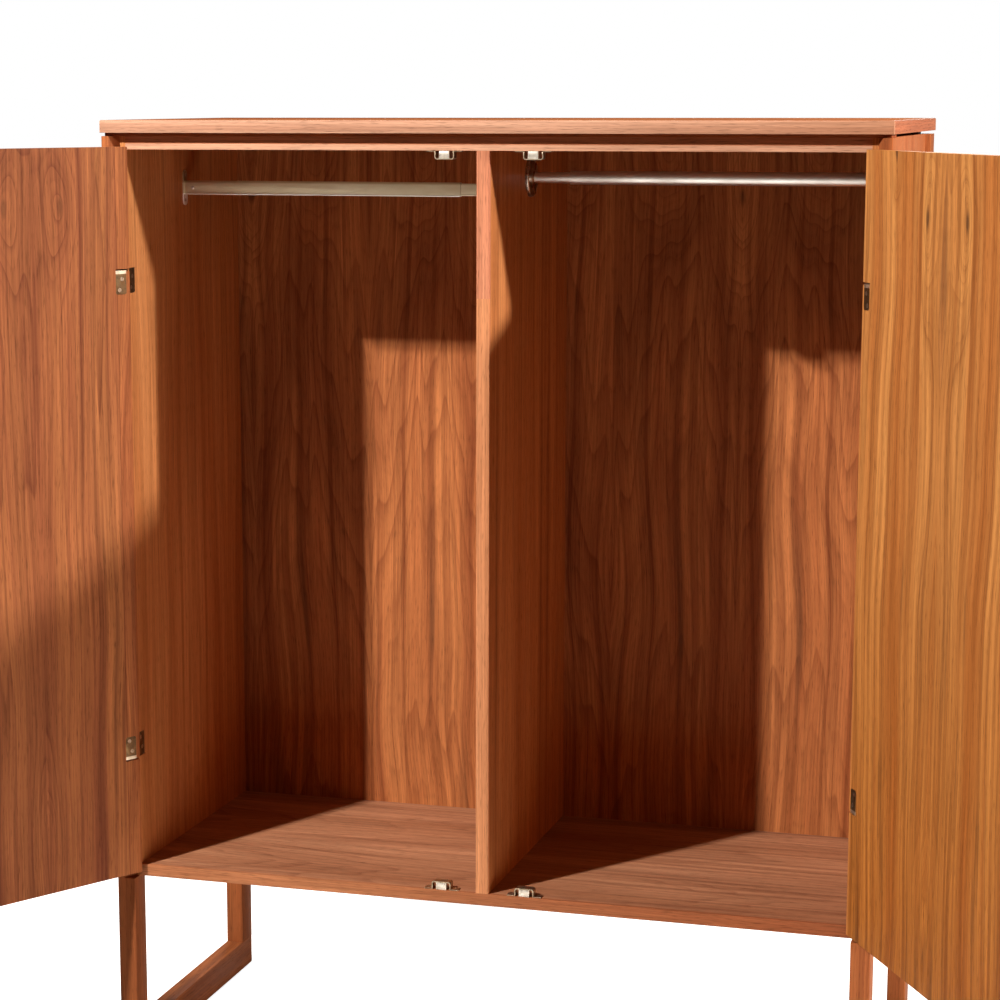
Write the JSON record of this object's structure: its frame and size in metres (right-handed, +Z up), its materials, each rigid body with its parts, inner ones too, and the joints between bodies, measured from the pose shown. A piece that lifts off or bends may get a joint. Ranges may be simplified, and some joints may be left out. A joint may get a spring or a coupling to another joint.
{
  "type": "wardrobe",
  "caption": "Freestanding wooden wardrobe with hinged doors that open to the front legs, a divided hanging case and a sled base.",
  "frame": {"origin": "on the floor, under the middle of the footprint that the wardrobe has with both doors stored open", "axes": "+X to the right as seen from the front, +Y towards the back, +Z up; the doorway faces -Y"},
  "size_m": [1.7322, 1.0056, 1.495],
  "materials": {
    "top_veneer": "oiled veneer, grain along the width",
    "top_edging": "oiled solid edging",
    "case_wood": "oiled veneered board",
    "case_lipping": "oiled solid lipping, paler than the boards",
    "side_wood": "oiled veneered board, upright grain",
    "back_wood": "oiled plywood, upright grain",
    "frame_wood": "oiled solid wood",
    "door_wood_left": "oiled reddish veneer with arched figure low on the door",
    "door_wood_right": "oiled golden veneer with straight figure",
    "brass": "satin brass, slightly dulled",
    "plated_steel": "warm nickel-plated steel",
    "rail_steel": "dull galvanised strip",
    "chrome": "polished chrome plate",
    "nylon": "white moulded plastic"
  },
  "bodies": {
    "case": {"top_panel": "top_veneer", "top_edging_front": "top_edging", "top_edging_rear": "top_edging", "top_edging_left": "top_edging", "top_edging_right": "top_edging", "top_edging_right_tail": "top_edging", "spacer_front": "case_wood", "spacer_rear": "case_wood", "case_top": "case_wood", "case_top_lipping": "case_lipping", "case_bottom": "case_wood", "case_bottom_lipping": "case_lipping", "side_panel_left": "side_wood", "side_panel_right": "side_wood", "divider": "case_wood", "divider_lipping": "case_lipping", "divider_lipping_upper": "case_lipping", "back_panel": "back_wood", "back_screws": "plated_steel", "front_leg_left": "frame_wood", "front_leg_right": "frame_wood", "rear_leg_left": "frame_wood", "rear_leg_right": "frame_wood", "runner_left": "frame_wood", "runner_right": "frame_wood", "glides": "nylon", "hinge_case_leaves": "brass", "hinge_case_screws": "brass", "hinge_pins": "brass", "catch_housings": "plated_steel", "catch_poles": "plated_steel", "catch_screws": "plated_steel", "flat_rail_bracket_side": "rail_steel", "flat_rail_bracket_divider": "rail_steel", "flat_rail_outer": "rail_steel", "flat_rail_inner": "rail_steel", "flat_rail_rivets": "chrome", "flat_rail_screws": "rail_steel", "round_rail_flange_divider": "chrome", "round_rail_flange_side": "chrome", "round_rail_outer": "chrome", "round_rail_inner": "chrome", "round_rail_screws": "chrome"},
    "left_door": {"door_panel_left": "door_wood_left", "door_hinge_lipping_left": "door_wood_left", "door_free_lipping_left": "door_wood_left", "hinge_door_leaves_left": "brass", "hinge_door_screws_left": "brass", "door_knob_left": "frame_wood", "strike_plates_left": "plated_steel"},
    "right_door": {"door_panel_right": "door_wood_right", "door_hinge_lipping_right": "door_wood_right", "door_free_lipping_right": "door_wood_right", "hinge_door_leaves_right": "brass", "hinge_door_screws_right": "brass", "door_knob_right": "frame_wood", "strike_plates_right": "plated_steel"}
  },
  "joints": [
    {"name": "left_door_hinge", "type": "hinge", "parent": "case", "child": "left_door", "pos_m": [-0.5687, -0.00697, 0.885], "axis": [0, 0, 1], "range_deg": [0, 120]},
    {"name": "right_door_hinge", "type": "hinge", "parent": "case", "child": "right_door", "pos_m": [0.5687, -0.00697, 0.885], "axis": [0, 0, -1], "range_deg": [0, 120]}
  ]
}
